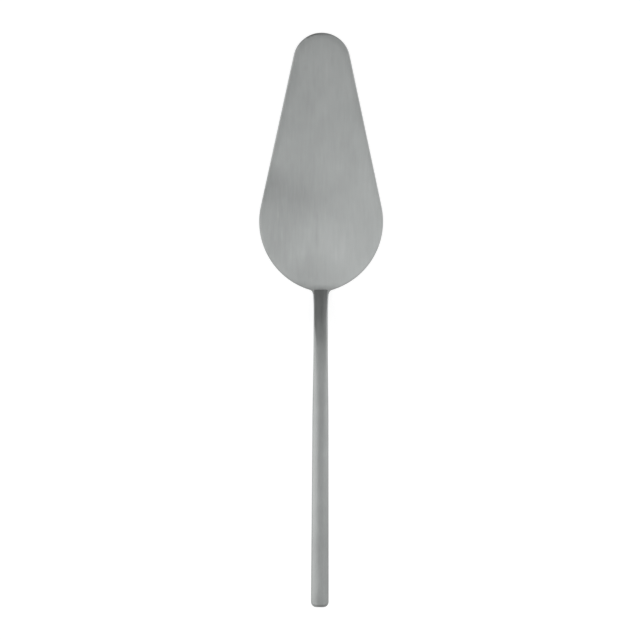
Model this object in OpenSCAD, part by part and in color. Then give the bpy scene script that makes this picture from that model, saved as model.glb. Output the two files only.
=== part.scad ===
// Cake server: a flat pear-shaped blade on a slim cranked handle.
// +X is to the right, +Y towards the tip, +Z up. The blade lies on Z = 0, and the origin is under the middle of the
// whole length. In the side profiles, u is the distance behind the point where the two sides of the heel would meet.

/* [Overall] */
// Length from the tip of the blade to the end of the handle, seen from above
overall_l = 265; // [245:1:290]

/* [Blade] */
// Greatest width of the blade
blade_w = 57.9; // [50:0.1:64]
// Distance from the tip to the widest place
wide_at = 88.2; // [75:0.1:100]
// Radius of the round tip
tip_r = 13.35; // [9:0.05:17]
// Radius of each side of the heel, from the widest place to the handle
heel_r = 33.4; // [30:0.1:40]
// Thickness of the sheet
sheet_t = 1.6; // [1.4:0.1:2]
// Radius of the rim's upper edge
rim_r = 0.7; // [0.4:0.05:0.9]
// Width of the band inside the rim that falls away from the flat top
crown_w = 2.7; // [1.2:0.1:3.4]
// Slope of that band where it meets the rim, in degrees
crown_slope = 8; // [4:0.5:18]
// Width of the rounding under the rim
under_w = 0.5; // [0.2:0.05:1]

/* [Tang] */
// Width of the tang inside the handle
tang_w = 3.2; // [2.4:0.1:4]
// Thickness of the tang, drawn down from the sheet
tang_t = 1; // [0.7:0.05:1.2]
// Length of the tang past its bend
tang_l = 5.6; // [4:0.1:8]

/* [Handle] */
// Width of the handle at the front of its foot
foot_w = 7.5; // [6.8:0.05:8]
// Thickness of the handle at its foot
foot_t = 3.6; // [3:0.1:4.4]
// How far the foot is let into the heel
foot_let_in = 1.3; // [0.9:0.05:2]
// Slope of the foot above the blade, in degrees
foot_slope = 32; // [26:0.5:38]
// Straight length of the foot, before the neck bends level
foot_l = 8; // [6.5:0.5:11]
// Radius of the neck's bend
bend_r = 80; // [60:1:95]
// Slope of the grip above the blade, in degrees
grip_slope = 8.5; // [5:0.5:11]
// Length over which the foot narrows to the neck
flare_l = 13; // [8:0.5:18]
// Width of the neck
neck_w = 6.62; // [5.8:0.02:6.8]
// Length along the handle at which the neck starts to widen
widen_at = 30; // [20:0.5:36]
// Width where the neck has widened and rounded into the grip
grip_w = 7.42; // [6.5:0.02:8.5]
// Length along the handle from the foot to that place
grip_at = 66; // [50:1:80]
// Width of the handle at its end
end_w = 8.06; // [7:0.02:10]
// Thickness of the handle at its end
end_t = 5; // [4:0.1:6]
// Radius of the end's corners, seen from above
corner_r = 2.5; // [1:0.1:3.4]
// Radius of the end's upper and lower edges
end_r = 1; // [0.4:0.1:1.8]

/* [Joint] */
// Gap that the filler metal fills in the notch and the slot
filler_gap = 0.1; // [0.06:0.01:0.2]
// Radius of the fillets in the corners between the heel and the handle
fillet_r = 2; // [1:0.1:4]
// How far the top of the fillets lies below the top of the sheet
fillet_drop = 0.3; // [0.2:0.05:0.6]

/* [Hidden] */
$fn = 96;

// Overrun of every cut past the surface that it opens
overrun = 0.5;
// Steel of the blade and the handle, and the duller filler metal
steel = [0.63, 0.64, 0.635];
filler = [0.56, 0.56, 0.55];

// Squareness of the section at the foot and along the grip: 1 is an oval, and a smaller share is squarer
foot_round_share = 0.33;
grip_round_share = 1;
// Points round the handle's section, and steps along its foot, bend, widening, grip and rounded end
section_points = 40;
foot_steps = 4;
bend_steps = 16;
widen_steps = 8;
grip_steps = 2;
edge_steps = 7;

// Each side of the heel is an arc whose centre lies past the middle line
heel_cx = blade_w / 2 - heel_r;
heel_drop = sqrt(heel_r * heel_r - heel_cx * heel_cx);
blade_l = wide_at + heel_drop;
wide_y = overall_l / 2 - wide_at;
heel_y = overall_l / 2 - blade_l;

// The straight flanks touch the arcs of the tip and of the heel
tip_cy = wide_at - tip_r;
centres_gap = norm([heel_cx, tip_cy]);
flank_angle = asin((heel_r - tip_r) / centres_gap) - atan(-heel_cx / tip_cy);

// Steps round the tip, down each side of the heel, over the rim's edge, across its crown and round its underside
tip_steps = 44;
heel_steps = 30;
rim_steps = 5;
crown_steps = 3;
under_steps = 3;

// The handle's middle line starts where the top of its foot comes level with the top of the sheet
spine_z = sheet_t - foot_t / 2 / cos(foot_slope);
bend_angle = foot_slope - grip_slope;
bend_l = bend_r * bend_angle * PI / 180;
foot_top = [-foot_let_in, spine_z] + foot_l * [cos(foot_slope), sin(foot_slope)];
bend_top = foot_top + bend_r * [sin(foot_slope) - sin(grip_slope), cos(grip_slope) - cos(foot_slope)];
end_reach = (end_t / 2 - end_r) * sin(grip_slope) + end_r * (1 - cos(grip_slope));
grip_l = (overall_l - blade_l - end_reach - bend_top[0]) / cos(grip_slope);
handle_l = foot_l + bend_l + grip_l;

// The tang leaves the blade flat, flush with the underside, and bends up where it meets the handle's middle line
tang_z = tang_t / 2;
tang_bend_u = -foot_let_in + (tang_z - spine_z) / tan(foot_slope);

// Centre of the right-hand fillet, seen from above, measured from the widest place
fillet_x = foot_w / 2 + fillet_r;
fillet_y = -sqrt(pow(heel_r + fillet_r, 2) - pow(fillet_x - heel_cx, 2));
fillet_touch = [heel_cx, 0] + heel_r / (heel_r + fillet_r) * ([fillet_x, fillet_y] - [heel_cx, 0]);
fillet_top = sheet_t - fillet_drop;

// Smooth step from 0 to 1
function ease(t) = let(c = min(max(t, 0), 1)) c * c * (3 - 2 * c);

// Value between a and b at share t
function mix(a, b, t) = a + (b - a) * t;

// Signed power, which squares up an oval
function squared(v, share) = sign(v) * pow(abs(v), share);

// Section of the handle, across and up, from its half width, half thickness and roundness
function section(a, b, share) = [
    for (i = [0 : section_points - 1])
        let(t = 360 * i / section_points)
        [a * squared(cos(t), share), b * squared(sin(t), share)]
];

// Half width, half thickness and roundness at a length s along the handle
function half_w(s) =
    s < widen_at ? mix(neck_w, foot_w, pow(1 - min(max(s / flare_l, 0), 1), 2)) / 2 :
    s < grip_at ? mix(neck_w, grip_w, ease((s - widen_at) / (grip_at - widen_at))) / 2 :
    mix(grip_w, end_w, (s - grip_at) / (handle_l - grip_at)) / 2;
function half_t(s) = mix(foot_t, end_t, max(s - foot_l, 0) / (handle_l - foot_l)) / 2;
function round_share(s) = mix(foot_round_share, grip_round_share, ease((s - foot_l) / (grip_at - foot_l)));

// How far an edge of radius r is drawn in at the distance d from the handle's end
function rounded(r, d) = d < r ? r - sqrt(r * r - (r - d) * (r - d)) : 0;

// Slope of the handle's middle line at a length s, and its place as [u, z]
function slope(s) = foot_slope - bend_angle * min(max((s - foot_l) / bend_l, 0), 1);
function spine(s) =
    s < foot_l ? foot_top + (s - foot_l) * [cos(foot_slope), sin(foot_slope)] :
    s < foot_l + bend_l
        ? foot_top + bend_r * [sin(foot_slope) - sin(slope(s)), cos(slope(s)) - cos(foot_slope)]
        : bend_top + (s - foot_l - bend_l) * [cos(grip_slope), sin(grip_slope)];

// Ring of the handle at a length s
function ring(s) =
    let(
        at = spine(s),
        a = slope(s),
        d = handle_l - s,
        edge = section(half_w(s) - rounded(corner_r, d), half_t(s) - rounded(end_r, d), round_share(s))
    )
    [for (p = edge) [p[0], heel_y - at[0] + p[1] * sin(a), at[1] + p[1] * cos(a)]];

// Lengths along the handle at which it has a ring
foot_stations = [-overrun, for (i = [0 : foot_steps]) foot_l * i / foot_steps];
bend_end = foot_l + bend_l;
stations = [
    each foot_stations,
    for (i = [1 : bend_steps]) foot_l + bend_l * i / bend_steps,
    for (i = [1 : widen_steps]) bend_end + (grip_at - bend_end) * i / widen_steps,
    for (i = [1 : grip_steps]) grip_at + (handle_l - corner_r - grip_at) * i / grip_steps,
    for (i = [1 : edge_steps]) handle_l - corner_r * (1 - sin(90 * i / edge_steps))
];

// Arc of points at the height z, from one direction to another in a number of steps
function arc(centre, r, from, to, steps, z) = [
    for (i = [0 : steps])
        let(t = from + (to - from) * i / steps)
        [centre[0] + r * cos(t), centre[1] + r * sin(t), z]
];

// Outline of the blade drawn in by inset at the height z, with its widest place on the X axis
function sheet_ring(inset, z) =
    let(
        side_r = heel_r - inset,
        half = acos(-heel_cx / side_r),
        left = arc([-heel_cx, 0], side_r, 180 - flank_angle, 180 + half, heel_steps, z)
    )
    [
        each arc([heel_cx, 0], side_r, -half, flank_angle, heel_steps, z),
        each arc([0, tip_cy], tip_r - inset, flank_angle, 180 - flank_angle, tip_steps, z),
        for (i = [0 : heel_steps - 1]) left[i]
    ];

// Inset and height of each ring round the rim, from the underside over the edge and the crown to the flat top
rim_in = rim_r * (1 - sin(crown_slope));
crown_drop = crown_w * tan(crown_slope) / 2;
under_h = sheet_t - crown_drop - rim_r * cos(crown_slope);
rim_levels = [
    for (i = [0 : under_steps])
        let(t = 90 * i / under_steps)
        [under_w * (1 - sin(t)), under_h * (1 - cos(t))],
    for (i = [1 : rim_steps])
        let(t = (90 - crown_slope) * i / rim_steps)
        [rim_r * (1 - cos(t)), under_h + rim_r * sin(t)],
    for (i = [1 : crown_steps])
        let(t = i / crown_steps)
        [rim_in + crown_w * t, sheet_t - crown_drop * (1 - t) * (1 - t)]
];

// Closed skin over rings of n points each, the first and the last of them flat
module skin(rings, n) {
    last = len(rings) - 1;
    sides = [
        for (k = [0 : last - 1])
            for (i = [0 : n - 1])
                let(j = (i + 1) % n)
                each [
                    [k * n + i, (k + 1) * n + j, k * n + j],
                    [k * n + i, (k + 1) * n + i, (k + 1) * n + j]
                ]
    ];
    front = [for (i = [0 : n - 1]) i];
    back = [for (i = [0 : n - 1]) last * n + n - 1 - i];
    polyhedron([for (r = rings) each r], [front, back, each sides]);
}

// The whole sheet with its rounded rim, in its place
module sheet() {
    rings = [for (level = rim_levels) sheet_ring(level[0], level[1])];
    translate([0, wide_y]) skin(rings, len(rings[0]));
}

// Solid of width w from a side profile drawn in u and z
module from_side(w) {
    translate([0, heel_y])
        rotate([90, 0, -90])
            linear_extrude(w, center = true)
                children();
}

// Side profile of the tang, or of its slot when grow is the gap between the two
module tang_side(grow) {
    half = tang_t / 2 + grow;
    mitre = half * tan(foot_slope / 2);
    tip = [tang_bend_u, tang_z] + (tang_l + grow) * [cos(foot_slope), sin(foot_slope)];
    up = half * [-sin(foot_slope), cos(foot_slope)];
    front = -foot_let_in - filler_gap - overrun;
    polygon([
        [front, tang_z - half],
        [tang_bend_u + mitre, tang_z - half],
        tip - up,
        tip + up,
        [tang_bend_u - mitre, tang_z + half],
        [front, tang_z + half]
    ]);
}

// Space in the heel that takes the handle's foot and the filler metal round it, and extra past its open sides
module notch_space(extra) {
    from_side(foot_w + 2 * filler_gap)
        translate([-foot_let_in - filler_gap, -extra])
            square([foot_let_in + filler_gap + extra, sheet_t + 2 * extra]);
}

// Slot in the foot that takes the tang
module slot_space() {
    from_side(tang_w + 2 * filler_gap)
        tang_side(filler_gap);
}

module tang() {
    from_side(tang_w) tang_side(0);
}

// Straight foot of the handle, cut level with the underside and square at its front
module foot_bar() {
    difference() {
        skin([for (s = foot_stations) ring(s)], section_points);
        foot_cuts();
    }
}

// What is cut from the foot below the blade and ahead of its front face
module foot_cuts() {
    from_side(foot_w + 2 * overrun) {
        translate([-foot_let_in - foot_t, -foot_t]) square([foot_t + foot_l, foot_t]);
        translate([-foot_let_in - foot_t, -foot_t]) square([foot_t, foot_t + sheet_t + overrun]);
    }
}

// Fillets in the two corners between the heel and the handle, before the heel and the foot are taken out
module fillet_blocks() {
    for (side = [0, 1])
        mirror([side, 0])
            translate([0, wide_y])
                linear_extrude(fillet_top)
                    difference() {
                        polygon([
                            [fillet_x - fillet_r - overrun, fillet_y],
                            [fillet_x, fillet_y],
                            fillet_touch,
                            fillet_touch - rim_in * (fillet_touch - [heel_cx, 0]) / heel_r,
                            [fillet_x - fillet_r - overrun, fillet_touch[1]]
                        ]);
                        translate([fillet_x, fillet_y]) circle(fillet_r);
                    }
}

module blade() {
    color(steel) {
        difference() {
            sheet();
            notch_space(overrun);
        }
        tang();
    }
}

module handle() {
    color(steel)
        difference() {
            skin([for (s = stations) ring(s)], section_points);
            foot_cuts();
            slot_space();
        }
}

module braze_joint() {
    color(filler)
        difference() {
            union() {
                difference() {
                    notch_space(0);
                    foot_bar();
                }
                difference() {
                    fillet_blocks();
                    sheet();
                    foot_bar();
                }
                difference() {
                    slot_space();
                    foot_cuts();
                }
            }
            tang();
        }
}

blade();
handle();
braze_joint();
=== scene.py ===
"""Cake server: fine meshes, steel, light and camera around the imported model, made in millimetres."""

import math

import bpy
import bmesh
from mathutils import Matrix, Vector


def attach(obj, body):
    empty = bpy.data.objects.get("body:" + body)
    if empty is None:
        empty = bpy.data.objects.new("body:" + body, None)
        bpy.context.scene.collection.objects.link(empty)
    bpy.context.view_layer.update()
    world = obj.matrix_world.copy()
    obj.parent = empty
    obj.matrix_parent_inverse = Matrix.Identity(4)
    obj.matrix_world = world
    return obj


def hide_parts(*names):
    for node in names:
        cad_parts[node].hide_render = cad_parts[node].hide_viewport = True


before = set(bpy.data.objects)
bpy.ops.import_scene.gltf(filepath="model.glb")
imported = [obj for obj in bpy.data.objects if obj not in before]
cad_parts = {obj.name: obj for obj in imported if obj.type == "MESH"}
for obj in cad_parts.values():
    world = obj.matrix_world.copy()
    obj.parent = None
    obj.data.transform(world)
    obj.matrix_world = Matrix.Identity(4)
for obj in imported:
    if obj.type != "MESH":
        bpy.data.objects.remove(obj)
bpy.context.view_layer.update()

MM = 0.001

# Sizes, the same as the solids have
OVERALL_L = 265.0
BLADE_W = 57.9
WIDE_AT = 88.2
TIP_R = 13.35
HEEL_R = 33.4
SHEET_T = 1.6
RIM_R = 0.7
CROWN_W = 2.7
CROWN_SLOPE = math.radians(8)
UNDER_W = 0.5
TANG_W = 3.2
TANG_T = 1.0
TANG_L = 5.6
FOOT_W = 7.5
FOOT_T = 3.6
FOOT_LET_IN = 1.3
FOOT_SLOPE = math.radians(32)
FOOT_L = 8.0
BEND_R = 80.0
GRIP_SLOPE = math.radians(8.5)
NECK_W = 6.62
FLARE_L = 13.0
WIDEN_AT = 30.0
GRIP_W = 7.42
GRIP_AT = 66.0
END_W = 8.06
END_T = 5.0
CORNER_R = 2.5
END_R = 1.0
FILLER_GAP = 0.1
FILLET_R = 2.0
FILLET_DROP = 0.3
OVERRUN = 0.5

# Roundness of the handle's section, 1 for an oval and less for a squarer one
FOOT_ROUND = 0.33
GRIP_ROUND = 1.0

# Steps of the fine meshes
TIP_STEPS = 96
HEEL_STEPS = 72
RIM_STEPS = 10
CROWN_STEPS = 8
UNDER_STEPS = 6
SECTION_POINTS = 96
FOOT_STEPS = 16
BEND_STEPS = 48
GRIP_STEPS = 40
EDGE_STEPS = 16
FILLET_STEPS = 24

# Edges sharper than this aren't shaded smooth
SHARP = math.radians(32)

# Worked out from the sizes
HEEL_CX = BLADE_W / 2 - HEEL_R
HEEL_DROP = math.sqrt(HEEL_R**2 - HEEL_CX**2)
BLADE_L = WIDE_AT + HEEL_DROP
WIDE_Y = OVERALL_L / 2 - WIDE_AT
HEEL_Y = OVERALL_L / 2 - BLADE_L
TIP_CY = WIDE_AT - TIP_R
FLANK_LEAN = math.asin((HEEL_R - TIP_R) / math.hypot(HEEL_CX, TIP_CY))
FLANK_ANGLE = FLANK_LEAN - math.atan(-HEEL_CX / TIP_CY)
RIM_IN = RIM_R * (1 - math.sin(CROWN_SLOPE))
CROWN_DROP = CROWN_W * math.tan(CROWN_SLOPE) / 2
UNDER_H = SHEET_T - CROWN_DROP - RIM_R * math.cos(CROWN_SLOPE)
SPINE_Z = SHEET_T - FOOT_T / 2 / math.cos(FOOT_SLOPE)
BEND_ANGLE = FOOT_SLOPE - GRIP_SLOPE
BEND_L = BEND_R * BEND_ANGLE
TANG_Z = TANG_T / 2
TANG_BEND_U = -FOOT_LET_IN + (TANG_Z - SPINE_Z) / math.tan(FOOT_SLOPE)
END_REACH = (END_T / 2 - END_R) * math.sin(GRIP_SLOPE) + END_R * (1 - math.cos(GRIP_SLOPE))


# In side outlines u runs back from the heel, and s is the length along the handle's middle line
def along(start, slope, length):
    """Point at a length from start, given as (u, z), up a slope."""
    return (start[0] + length * math.cos(slope), start[1] + length * math.sin(slope))


def round_bend(slope):
    """Point of the neck's bend where its slope has come down to the one given."""
    u = FOOT_TOP[0] + BEND_R * (math.sin(FOOT_SLOPE) - math.sin(slope))
    z = FOOT_TOP[1] + BEND_R * (math.cos(slope) - math.cos(FOOT_SLOPE))
    return (u, z)


FOOT_TOP = along((-FOOT_LET_IN, SPINE_Z), FOOT_SLOPE, FOOT_L)
BEND_TOP = round_bend(GRIP_SLOPE)
GRIP_L = (OVERALL_L - BLADE_L - END_REACH - BEND_TOP[0]) / math.cos(GRIP_SLOPE)
HANDLE_L = FOOT_L + BEND_L + GRIP_L


def mix(a, b, t):
    return a + (b - a) * t


def ease(t):
    t = min(max(t, 0.0), 1.0)
    return t * t * (3 - 2 * t)


def squared(v, power):
    """Power of v that keeps its sign."""
    return math.copysign(abs(v) ** power, v)


def slope_at(s):
    return FOOT_SLOPE - BEND_ANGLE * min(max((s - FOOT_L) / BEND_L, 0), 1)


def spine_at(s):
    """The handle's middle line at the length s, as (u, z)."""
    if s < FOOT_L:
        return along(FOOT_TOP, FOOT_SLOPE, s - FOOT_L)
    if s < FOOT_L + BEND_L:
        return round_bend(slope_at(s))
    return along(BEND_TOP, GRIP_SLOPE, s - FOOT_L - BEND_L)


def half_width(s):
    if s < WIDEN_AT:
        return mix(NECK_W, FOOT_W, (1 - min(max(s / FLARE_L, 0), 1)) ** 2) / 2
    if s < GRIP_AT:
        return mix(NECK_W, GRIP_W, ease((s - WIDEN_AT) / (GRIP_AT - WIDEN_AT))) / 2
    return mix(GRIP_W, END_W, (s - GRIP_AT) / (HANDLE_L - GRIP_AT)) / 2


def half_thickness(s):
    return mix(FOOT_T, END_T, max(s - FOOT_L, 0) / (HANDLE_L - FOOT_L)) / 2


def rounded(r, d):
    """How far an edge with the radius r is drawn in at the distance d from the end."""
    return r - math.sqrt(r**2 - (r - d) ** 2) if d < r else 0


def handle_ring(s):
    """Ring of the handle at the length s."""
    u, z = spine_at(s)
    slope = slope_at(s)
    left = HANDLE_L - s
    a = half_width(s) - rounded(CORNER_R, left)
    b = half_thickness(s) - rounded(END_R, left)
    power = mix(FOOT_ROUND, GRIP_ROUND, ease((s - FOOT_L) / (GRIP_AT - FOOT_L)))
    ring = []
    for i in range(SECTION_POINTS):
        t = 2 * math.pi * i / SECTION_POINTS
        across = a * squared(math.cos(t), power)
        up = b * squared(math.sin(t), power)
        ring.append((across, HEEL_Y - u + up * math.sin(slope), z + up * math.cos(slope)))
    return ring


def foot_rings():
    rings = [handle_ring(-OVERRUN)]
    rings += [handle_ring(FOOT_L * i / FOOT_STEPS) for i in range(FOOT_STEPS + 1)]
    return rings


def handle_rings():
    rings = foot_rings()
    rings += [handle_ring(FOOT_L + BEND_L * i / BEND_STEPS) for i in range(1, BEND_STEPS + 1)]
    reach = GRIP_L - CORNER_R
    rings += [handle_ring(FOOT_L + BEND_L + reach * i / GRIP_STEPS) for i in range(1, GRIP_STEPS + 1)]
    for i in range(1, EDGE_STEPS + 1):
        t = math.pi / 2 * i / EDGE_STEPS
        rings.append(handle_ring(HANDLE_L - CORNER_R * (1 - math.sin(t))))
    return rings


def arc(centre, r, start, end, steps, z):
    points = []
    for i in range(steps + 1):
        t = mix(start, end, i / steps)
        points.append((centre[0] + r * math.cos(t), WIDE_Y + centre[1] + r * math.sin(t), z))
    return points


def sheet_ring(inset, z):
    """The blade's outline drawn in by inset, at the height z."""
    side_r = HEEL_R - inset
    half = math.acos(-HEEL_CX / side_r)
    right = arc((HEEL_CX, 0), side_r, -half, FLANK_ANGLE, HEEL_STEPS, z)
    tip = arc((0, TIP_CY), TIP_R - inset, FLANK_ANGLE, math.pi - FLANK_ANGLE, TIP_STEPS, z)
    left = arc((-HEEL_CX, 0), side_r, math.pi - FLANK_ANGLE, math.pi + half, HEEL_STEPS, z)
    return right + tip + left[:-1]


def sheet_rings():
    rings = []
    for i in range(UNDER_STEPS + 1):
        t = math.pi / 2 * i / UNDER_STEPS
        rings.append(sheet_ring(UNDER_W * (1 - math.sin(t)), UNDER_H * (1 - math.cos(t))))
    for i in range(1, RIM_STEPS + 1):
        t = (math.pi / 2 - CROWN_SLOPE) * i / RIM_STEPS
        rings.append(sheet_ring(RIM_R * (1 - math.cos(t)), UNDER_H + RIM_R * math.sin(t)))
    for i in range(1, CROWN_STEPS + 1):
        q = i / CROWN_STEPS
        rings.append(sheet_ring(RIM_IN + CROWN_W * q, SHEET_T - CROWN_DROP * (1 - q) ** 2))
    return rings


def skin(name, rings):
    """Closed mesh object over rings of points, with flat ends."""
    n = len(rings[0])
    points = [p for ring in rings for p in ring]
    faces = [list(range(n))[::-1], list(range((len(rings) - 1) * n, len(rings) * n))]
    for k in range(len(rings) - 1):
        for i in range(n):
            j = (i + 1) % n
            faces.append((k * n + i, k * n + j, (k + 1) * n + j, (k + 1) * n + i))
    return solid(name, points, faces)


def solid(name, points, faces):
    """Mesh object with its faces turned outwards."""
    mesh = bpy.data.meshes.new(name)
    mesh.from_pydata(points, [], faces)
    shape = bmesh.new()
    shape.from_mesh(mesh)
    bmesh.ops.recalc_face_normals(shape, faces=shape.faces)
    shape.to_mesh(mesh)
    shape.free()
    obj = bpy.data.objects.new(name, mesh)
    bpy.context.scene.collection.objects.link(obj)
    return obj


def prism(name, near, far):
    """Solid between two outlines of as many points."""
    n = len(near)
    faces = [list(range(n)), list(range(n, 2 * n))]
    faces += [(i, (i + 1) % n, n + (i + 1) % n, n + i) for i in range(n)]
    return solid(name, near + far, faces)


def from_side(name, outline, width):
    """Solid of a width across X from an outline in (u, z)."""
    near, far = ([(x, HEEL_Y - u, z) for u, z in outline] for x in (-width / 2, width / 2))
    return prism(name, near, far)


def tang_outline(grow):
    """Side outline of the tang, or of its slot when grow is the gap between the two."""
    half = TANG_T / 2 + grow
    mitre = half * math.tan(FOOT_SLOPE / 2)
    tip = along((TANG_BEND_U, TANG_Z), FOOT_SLOPE, TANG_L + grow)
    up = (-half * math.sin(FOOT_SLOPE), half * math.cos(FOOT_SLOPE))
    front = -FOOT_LET_IN - FILLER_GAP - OVERRUN
    return [
        (front, TANG_Z - half),
        (TANG_BEND_U + mitre, TANG_Z - half),
        (tip[0] - up[0], tip[1] - up[1]),
        (tip[0] + up[0], tip[1] + up[1]),
        (TANG_BEND_U - mitre, TANG_Z + half),
        (front, TANG_Z + half),
    ]


def block(u0, u1, z0, z1):
    """Rectangle as a side outline."""
    return [(u0, z0), (u1, z0), (u1, z1), (u0, z1)]


def combine(obj, other, operation):
    """Joins other to obj or takes it out of it, and removes other."""
    tool = obj.modifiers.new("combine", "BOOLEAN")
    tool.operation = operation
    tool.solver = "EXACT"
    tool.object = other
    apply_modifiers(obj)
    bpy.data.objects.remove(other)


def apply_modifiers(obj):
    """Puts the result of the object's modifiers into its mesh."""
    made = bpy.data.meshes.new_from_object(obj.evaluated_get(bpy.context.evaluated_depsgraph_get()))
    obj.modifiers.clear()
    obj.data = made


def notch_block(extra):
    """What the heel's notch holds, reaching past the sheet by extra."""
    outline = block(-FOOT_LET_IN - FILLER_GAP, extra, -extra, SHEET_T + extra)
    return from_side("notch", outline, FOOT_W + 2 * FILLER_GAP)


def foot_cut():
    """What is cut from the foot below the blade and ahead of its front face."""
    face = -FOOT_LET_IN
    ahead = face - FOOT_T
    behind = face + FOOT_L
    top = SHEET_T + OVERRUN
    outline = [(ahead, -FOOT_T), (behind, -FOOT_T), (behind, 0), (face, 0), (face, top), (ahead, top)]
    return from_side("foot_cut", outline, FOOT_W + 2 * OVERRUN)


def foot_bar():
    bar = skin("foot_bar", foot_rings())
    combine(bar, foot_cut(), "DIFFERENCE")
    return bar


def blade_piece():
    blade = skin("blade_sheet", sheet_rings())
    combine(blade, notch_block(OVERRUN), "DIFFERENCE")
    combine(blade, from_side("tang", tang_outline(0), TANG_W), "UNION")
    return blade


def handle_piece():
    handle = skin("handle_bar", handle_rings())
    combine(handle, foot_cut(), "DIFFERENCE")
    combine(handle, from_side("slot", tang_outline(FILLER_GAP), TANG_W + 2 * FILLER_GAP), "DIFFERENCE")
    return handle


def fillet_outline():
    """Outline of the right-hand fillet, seen from above, before the heel and the foot are taken out."""
    cx = FOOT_W / 2 + FILLET_R
    cy = -math.sqrt((HEEL_R + FILLET_R) ** 2 - (cx - HEEL_CX) ** 2)
    centre = Vector((cx, cy))
    heel_centre = Vector((HEEL_CX, 0))
    touch = heel_centre + (centre - heel_centre) * HEEL_R / (HEEL_R + FILLET_R)
    inner = touch - RIM_IN * (touch - heel_centre) / HEEL_R
    inside_x = FOOT_W / 2 - OVERRUN
    start = math.pi
    end = math.atan2(touch.y - cy, touch.x - cx)
    outline = [(inside_x, cy)]
    for i in range(FILLET_STEPS + 1):
        t = mix(start, end, i / FILLET_STEPS)
        outline.append((cx + FILLET_R * math.cos(t), cy + FILLET_R * math.sin(t)))
    return outline + [tuple(inner), (inside_x, touch.y)]


def fillet_block(side):
    """Block of a fillet, on the right where side is 1 and on the left where it is -1."""
    outline = fillet_outline()
    low, high = ([(side * x, WIDE_Y + y, z) for x, y in outline] for z in (0, SHEET_T - FILLET_DROP))
    return prism("fillet", low, high)


def braze_piece():
    braze = notch_block(0)
    for side in (-1, 1):
        fillet = fillet_block(side)
        combine(fillet, skin("heel", sheet_rings()), "DIFFERENCE")
        combine(braze, fillet, "UNION")
    combine(braze, foot_bar(), "DIFFERENCE")
    film = from_side("film", tang_outline(FILLER_GAP), TANG_W + 2 * FILLER_GAP)
    combine(film, foot_cut(), "DIFFERENCE")
    combine(braze, film, "UNION")
    combine(braze, tang_cut(), "DIFFERENCE")
    return braze


def tang_cut():
    """The tang and the space under its flat part, so that the filler leaves its underside bare."""
    cut = from_side("tang", tang_outline(0), TANG_W)
    flat_end = TANG_BEND_U + TANG_T / 2 * math.tan(FOOT_SLOPE / 2)
    below = block(-FOOT_LET_IN - FILLER_GAP - OVERRUN, flat_end, -OVERRUN, TANG_Z)
    combine(cut, from_side("below_tang", below, TANG_W), "UNION")
    return cut


def smooth(obj, sharp_angle):
    """Shades smooth, apart from edges sharper than an angle."""
    mesh = obj.data
    shape = bmesh.new()
    shape.from_mesh(mesh)
    for face in shape.faces:
        face.smooth = True
    for edge in shape.edges:
        edge.smooth = len(edge.link_faces) == 2 and edge.calc_face_angle() < sharp_angle
    shape.to_mesh(mesh)
    shape.free()
    tool = obj.modifiers.new("normals", "WEIGHTED_NORMAL")
    tool.keep_sharp = True
    apply_modifiers(obj)


def finish_piece(obj, name, material, node):
    """Names a piece, brings it to metres, gives it its material in a slot, puts it under its body and
    hides the imported node it stands for.
    """
    obj.name = name
    obj.data.transform(Matrix.Scale(MM, 4))
    obj.data.materials.clear()
    obj.data.materials.append(material)
    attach(obj, "root")
    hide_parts(node)


class Nodes:
    """Short way to add and link shader nodes."""

    def __init__(self, tree):
        self.tree = tree
        tree.nodes.clear()

    def add(self, kind, inputs=None, **settings):
        node = self.tree.nodes.new(kind)
        for key, value in settings.items():
            setattr(node, key, value)
        for key, value in (inputs or {}).items():
            if isinstance(value, bpy.types.NodeSocket):
                self.tree.links.new(value, node.inputs[key])
            else:
                node.inputs[key].default_value = value
        return node

    def math(self, operation, a, b=0.0):
        return self.add("ShaderNodeMath", {0: a, 1: b}, operation=operation).outputs[0]

    def noise(self, place, seed, across, length, detail):
        """Noise with a number of cells to the metre across X and Z, and another along Y."""
        scaled = self.add("ShaderNodeMapping", {
            "Vector": place, "Location": (seed, seed * 2, seed * 3), "Scale": (across, length, across)})
        noise = self.add("ShaderNodeTexNoise", {
            "Vector": scaled.outputs[0], "Scale": 1.0, "Detail": detail, "Roughness": NOISE_ROUGHNESS})
        return noise.outputs["Fac"]

    def mark(self, place, x, y, half_w, half_l):
        """Soft oval spot that is 1 at its middle and 0 at its edge."""
        size = (1 / (half_w * MM), 1 / (half_l * MM), 0)
        scaled = self.add("ShaderNodeMapping", {
            "Vector": place, "Location": (-x * MM * size[0], -y * MM * size[1], 0), "Scale": size})
        spot = self.add("ShaderNodeTexGradient", {"Vector": scaled.outputs[0]}, gradient_type="SPHERICAL")
        return spot.outputs["Fac"]


# Colour of each metal, its roughness and the strength of its scratches
STEEL = {"base": (0.355, 0.367, 0.363), "roughness": 0.32, "scratches": 0.35}
FILLER = {"base": (0.26, 0.268, 0.264), "roughness": 0.36, "scratches": 0.25}
# Painted light: how much brighter the blade gets from its middle to its right edge, as a share
BLADE_PAINTED_LIGHT_SHARE = 0.05
# Places in the noise, so that no two pieces look alike
BLADE_SEED = 0.0
HANDLE_SEED = 7.0
FILLER_SEED = 13.0

# Noise of the steel: cells to the metre across the brushing and along it, and detail
GRAIN_NOISE = (5000, 90, 3.0)
STREAK_NOISE = (700, 90, 2.0)
CLOUD_NOISE = (55, 40, 3.0)
NOISE_ROUGHNESS = 0.6
NOISE_MIDDLE = 0.5
# How much each noise changes the brightness, and the greatest change of all, up and down
GRAIN_SHARE = 0.15
STREAK_SHARE = 0.14
CLOUD_SHARE = 0.28
TONE_SHARE = 0.45
# Parts of grain and streaks in the scratches, the scratches' depth and their effect on the roughness
SCRATCH_GRAIN_SHARE = 0.65
SCRATCH_STREAK_SHARE = 0.35
SCRATCH_DEPTH = 0.02
ROUGHNESS_SPREAD = 0.08
# How far the highlight spreads across the brushing
ANISOTROPY = 0.85
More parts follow.
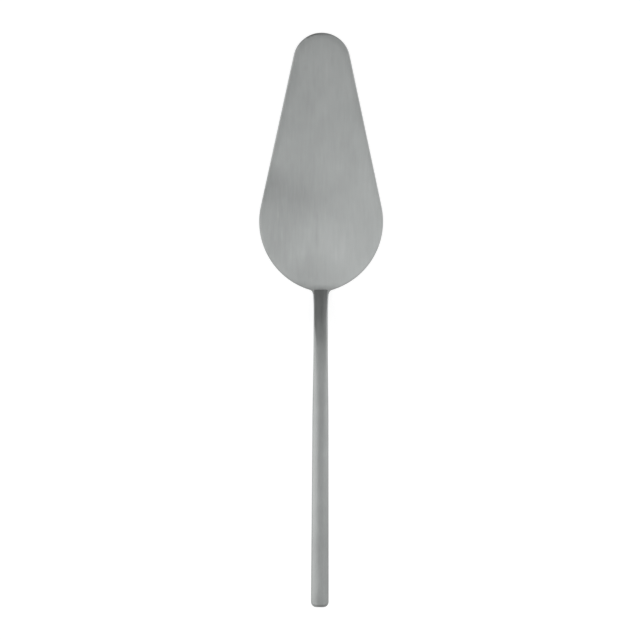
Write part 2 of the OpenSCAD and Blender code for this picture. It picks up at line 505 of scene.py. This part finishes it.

# Soft spots on the metal, some marks of the polish and some painted shade and highlights: x, y, half
# width, half length (mm) and change of brightness
BLADE_MARKS_AND_PAINTED_LIGHT = [
    (-23.0, 62.0, 9.0, 10.0, -0.12),
    (-7.0, 99.0, 5.0, 8.0, -0.05),
    (-8.0, 88.0, 5.0, 4.0, -0.04),
    # Painted light: a broad lighter patch
    (6.0, 31.0, 26.0, 22.0, 0.09),
    (-7.4, 116.0, 1.4, 2.0, -0.06),
    (4.9, 119.5, 1.0, 3.5, -0.05),
    (-2.0, 38.0, 1.2, 12.0, -0.09),
    (-2.4, 47.0, 1.6, 2.6, -0.05),
    (7.1, 28.6, 0.9, 5.0, 0.07),
    (10.2, 33.3, 1.8, 7.0, 0.05),
    (-14.1, 29.2, 0.8, 10.0, 0.05),
    (-18.4, 38.0, 0.8, 4.0, 0.06),
    (-20.0, 47.0, 0.8, 2.8, 0.05),
    (-21.5, 37.0, 0.8, 3.0, 0.05),
    (-8.2, 30.0, 1.6, 5.0, 0.05),
    (-5.5, 38.5, 1.4, 4.5, 0.04),
    # Painted shade: dark spots along the heel's edge
    (-8.5, 14.5, 6.5, 2.6, -0.13),
    (5.8, 14.0, 4.0, 2.2, -0.13),
    # Painted shade and light: broad darker and lighter patches
    (-18.0, 57.0, 26.0, 18.0, -0.14),
    (-4.0, 19.0, 18.0, 11.0, -0.1),
    (4.0, 113.0, 24.0, 24.0, 0.075),
    # Painted shade: dark lines along the tip's edge
    (-1.0, 131.8, 10.0, 1.0, -0.35),
    (-3.4, 131.9, 2.2, 0.8, -0.4),
    (-5.0, 131.1, 1.8, 0.8, -0.45),
    (-6.6, 130.3, 1.3, 0.8, -0.45),
    # Painted shade: dark spot on the heel where the handle starts
    (-0.4, 12.4, 9.0, 2.6, -0.42),
]
# Painted shade and painted highlights on the handle: darker grip end and right side, lighter flanks and
# left edge, dark lines at the neck and the end
HANDLE_PAINTED_LIGHT = [
    (3.0, -133.0, 10.0, 60.0, -0.18),
    (2.5, -95.0, 5.5, 75.0, -0.12),
    (-3.8, -75.0, 2.6, 90.0, 0.1),
    (0.4, 0.0, 0.5, 6.5, -0.14),
    (2.3, 3.0, 1.6, 14.0, 0.32),
    (-0.4, 10.0, 4.0, 4.0, -0.12),
    (-1.3, -75.0, 1.0, 130.0, 0.1),
    (1.9, -75.0, 0.9, 130.0, 0.1),
    (-0.8, -129.5, 3.5, 6.0, -0.12),
    (0.8, -131.6, 4.0, 1.3, -0.27),
]


def shade(base, change):
    """Colour made brighter or darker by a share of itself."""
    return tuple(c * (1 + change) for c in base) + (1,)


def toned(n, place, base, noises, marks_and_painted_light, painted_lean):
    """Colour that changes with the noises, the marks and painted light and shade, and brightens towards
    +X by a share as painted light.
    """
    x_axis = n.add("ShaderNodeSeparateXYZ", {0: place}).outputs["X"]
    tone = n.math("MULTIPLY", x_axis, painted_lean / (BLADE_W / 2 * MM))
    for value, amount in noises:
        tone = n.math("ADD", tone, n.math("MULTIPLY", n.math("SUBTRACT", value, NOISE_MIDDLE), amount))
    for x, y, half_w, half_l, amount in marks_and_painted_light:
        tone = n.math("ADD", tone, n.math("MULTIPLY", n.mark(place, x, y, half_w, half_l), amount))
    factor = n.add("ShaderNodeMapRange", {"Value": tone, "From Min": -TONE_SHARE, "From Max": TONE_SHARE})
    ends = {6: shade(base, -TONE_SHARE), 7: shade(base, TONE_SHARE)}
    return n.add("ShaderNodeMix", {0: factor.outputs[0], **ends}, data_type="RGBA").outputs[2]


def brushed_metal(name, base, roughness, scratches, seed, marks_and_painted_light=(), painted_lean=0.0):
    """Metal brushed along Y, with marks and painted light and shade, and brightening towards +X by a
    share as painted light.
    """
    material = bpy.data.materials.new(name)
    material.use_nodes = True
    n = Nodes(material.node_tree)
    place = n.add("ShaderNodeTexCoord").outputs["Object"]
    grain = n.noise(place, seed, *GRAIN_NOISE)
    streaks = n.noise(place, seed, *STREAK_NOISE)
    clouds = n.noise(place, seed, *CLOUD_NOISE)
    noises = ((clouds, CLOUD_SHARE), (streaks, STREAK_SHARE), (grain, GRAIN_SHARE))
    colour = toned(n, place, base, noises, marks_and_painted_light, painted_lean)

    scratched_grain = n.math("MULTIPLY", grain, SCRATCH_GRAIN_SHARE)
    scratch = n.math("ADD", scratched_grain, n.math("MULTIPLY", streaks, SCRATCH_STREAK_SHARE))
    rough = n.add("ShaderNodeMapRange", {
        "Value": scratch, "To Min": roughness - ROUGHNESS_SPREAD, "To Max": roughness + ROUGHNESS_SPREAD})
    bump = n.add("ShaderNodeBump", {
        "Height": scratch, "Strength": scratches, "Distance": SCRATCH_DEPTH * MM})
    normal = n.add("ShaderNodeNewGeometry").outputs["Normal"]
    across = n.add("ShaderNodeVectorMath", {0: (0, 1, 0), 1: normal}, operation="CROSS_PRODUCT")
    shader = n.add("ShaderNodeBsdfPrincipled", {
        "Base Color": colour,
        "Metallic": 1.0,
        "Roughness": rough.outputs[0],
        "Anisotropic": ANISOTROPY,
        "Tangent": across.outputs[0],
        "Normal": bump.outputs[0],
    })
    n.add("ShaderNodeOutputMaterial", {"Surface": shader.outputs[0]})
    return material


# Strength of the even light, and how far the softboxes are from the origin
AMBIENT = 0.17
LAMP_REACH = 1300.0


def studio_light():
    """Even light all round, and seven softboxes, each in its own part of the sky."""
    world = bpy.data.worlds.new("studio")
    bpy.context.scene.world = world
    world.use_nodes = True
    n = Nodes(world.node_tree)
    sky = n.add("ShaderNodeBackground", {"Color": (1, 1, 1, 1), "Strength": AMBIENT})
    n.add("ShaderNodeOutputWorld", {"Surface": sky.outputs[0]})
    aim("left_box", tilts_y=(-55, 30), tilts_x=(-85, -23), radiance=1.2)
    aim("right_box", tilts_y=(-80, 30), tilts_x=(40, 85), radiance=0.95)
    aim("blade_box", tilts_y=(-10, 30), tilts_x=(-18, 35), radiance=1.0)
    aim("grip_box", tilts_y=(-34, -10), tilts_x=(-15, 35), radiance=0.5)
    aim("neck_box", tilts_y=(-52, -34), tilts_x=(-15, 35), radiance=0.25)
    aim("far_box", tilts_y=(-80, -52), tilts_x=(-45, 42), radiance=0.1)
    aim("near_box", tilts_y=(30, 80), tilts_x=(-60, 60), radiance=0.65)


def aim(name, tilts_y, tilts_x, radiance):
    """Softbox between two tilts towards -Y and two towards +X, in degrees from straight up."""
    a = math.radians(sum(tilts_y) / 2)
    b = math.radians(sum(tilts_x) / 2)
    away = Vector((math.sin(b), -math.sin(a) * math.cos(b), math.cos(a) * math.cos(b)))
    width = 2 * LAMP_REACH * math.tan(math.radians(tilts_x[1] - tilts_x[0]) / 2)
    height = 2 * LAMP_REACH * math.cos(b) * math.tan(math.radians(tilts_y[1] - tilts_y[0]) / 2)
    softbox(name, away, width, height, radiance)


def softbox(name, away, width, height, radiance):
    """Area light that looks as bright as its radiance, its width as near to X as its direction allows."""
    data = bpy.data.lights.new(name, "AREA")
    data.shape = "RECTANGLE"
    data.size = width * MM
    data.size_y = height * MM
    data.energy = radiance * math.pi * data.size * data.size_y
    lamp = bpy.data.objects.new(name, data)
    across = (Vector((1, 0, 0)) - away * away.x).normalized()
    lamp.location = away * LAMP_REACH * MM
    lamp.rotation_euler = Matrix((across, away.cross(across), away)).transposed().to_euler()
    lamp.visible_camera = False
    bpy.context.scene.collection.objects.link(lamp)


# Radius of the floor that the lamps light, radius of all of it, and radius of the curve up into the wall
LIT_R = 1200.0
FLOOR_R = 2600.0
COVE_R = 700.0
# How far the floor lies below the blade
FLOOR_DROP = 0.05
FLOOR_STEPS = 96
COVE_STEPS = 12
# How much light the paper scatters, how rough it is and how much it shines
PAPER_WHITE = 0.42
PAPER_ROUGHNESS = 0.9
PAPER_SHINE = 0.1
# The glow that the paper adds in reflections, and where the camera sees its lit part and the rest
REFLECTED_GLOW = 0.7
LIT_GLOW = 0.7
FAR_GLOW = 1.0


def white_paper(name, glow):
    """Paper that scatters light, with a glow where the camera sees it and another in reflections."""
    material = bpy.data.materials.new(name)
    material.use_nodes = True
    n = Nodes(material.node_tree)
    path = n.add("ShaderNodeLightPath")
    seen = n.math("MULTIPLY", path.outputs["Is Camera Ray"], glow)
    mirrored = n.math("MAXIMUM", path.outputs["Is Glossy Ray"], path.outputs["Is Transmission Ray"])
    strength = n.math("MAXIMUM", seen, n.math("MULTIPLY", mirrored, REFLECTED_GLOW))
    paper = n.add("ShaderNodeBsdfPrincipled", {
        "Base Color": (PAPER_WHITE, PAPER_WHITE, PAPER_WHITE, 1),
        "Roughness": PAPER_ROUGHNESS,
        "Specular IOR Level": PAPER_SHINE,
    })
    added = n.add("ShaderNodeEmission", {"Color": (1, 1, 1, 1), "Strength": strength})
    both = n.add("ShaderNodeAddShader", {0: paper.outputs[0], 1: added.outputs[0]})
    n.add("ShaderNodeOutputMaterial", {"Surface": both.outputs[0]})
    return material


def floor_ring(r, z):
    """Points round the floor at the radius r and the height z."""
    turns = [2 * math.pi * i / FLOOR_STEPS for i in range(FLOOR_STEPS)]
    return [(r * math.cos(t), r * math.sin(t), z - FLOOR_DROP) for t in turns]


def floor_piece():
    """Round white floor that curves up into a low wall all round."""
    rings = [floor_ring(LIT_R, 0), floor_ring(FLOOR_R, 0)]
    for i in range(1, COVE_STEPS + 1):
        t = math.pi / 2 * i / COVE_STEPS
        rings.append(floor_ring(FLOOR_R + COVE_R * math.sin(t), COVE_R * (1 - math.cos(t))))
    points = [p for ring in rings for p in ring]
    faces = [list(range(FLOOR_STEPS))]
    for k in range(len(rings) - 1):
        low, high = k * FLOOR_STEPS, (k + 1) * FLOOR_STEPS
        for i in range(FLOOR_STEPS):
            j = (i + 1) % FLOOR_STEPS
            faces.append((low + i, high + i, high + j, low + j))
    mesh = bpy.data.meshes.new("floor")
    mesh.from_pydata(points, [], faces)
    mesh.transform(Matrix.Scale(MM, 4))
    mesh.materials.append(white_paper("lit_paper", LIT_GLOW))
    mesh.materials.append(white_paper("far_paper", FAR_GLOW))
    for face in mesh.polygons[1:]:
        face.material_index = 1
    floor = bpy.data.objects.new("floor", mesh)
    bpy.context.scene.collection.objects.link(floor)


# The camera looks straight down, at a frame of this many millimetres a pixel
PIXELS = 640
MM_PER_PIXEL = 0.46685
CAMERA_HEIGHT = 1100.0
CAMERA_AT = (-0.36, -1.74)
CAMERA_ROLL = math.radians(0.2)


def camera():
    data = bpy.data.cameras.new("camera")
    data.lens = data.sensor_width * (CAMERA_HEIGHT - SHEET_T) / (PIXELS * MM_PER_PIXEL)
    eye = bpy.data.objects.new("camera", data)
    eye.location = (CAMERA_AT[0] * MM, CAMERA_AT[1] * MM, CAMERA_HEIGHT * MM)
    eye.rotation_euler = (0, 0, CAMERA_ROLL)
    bpy.context.scene.collection.objects.link(eye)
    bpy.context.scene.camera = eye


blade_steel = brushed_metal(
    "blade_steel", **STEEL, seed=BLADE_SEED, marks_and_painted_light=BLADE_MARKS_AND_PAINTED_LIGHT, painted_lean=BLADE_PAINTED_LIGHT_SHARE)
handle_steel = brushed_metal("handle_steel", **STEEL, seed=HANDLE_SEED, marks_and_painted_light=HANDLE_PAINTED_LIGHT)
filler_metal = brushed_metal("filler_metal", **FILLER, seed=FILLER_SEED)

for make, name, material, node, slot in (
    (blade_piece, "blade_sheet", blade_steel, "blade", "blade_steel"),
    (handle_piece, "handle_bar", handle_steel, "handle", "handle_steel"),
    (braze_piece, "braze_fillets", filler_metal, "braze_joint", "filler_metal"),
):
    piece = make()
    smooth(piece, SHARP)
    finish_piece(piece, name, material, node)

bpy.context.scene.view_settings.view_transform = "Standard"
camera()
studio_light()
floor_piece()
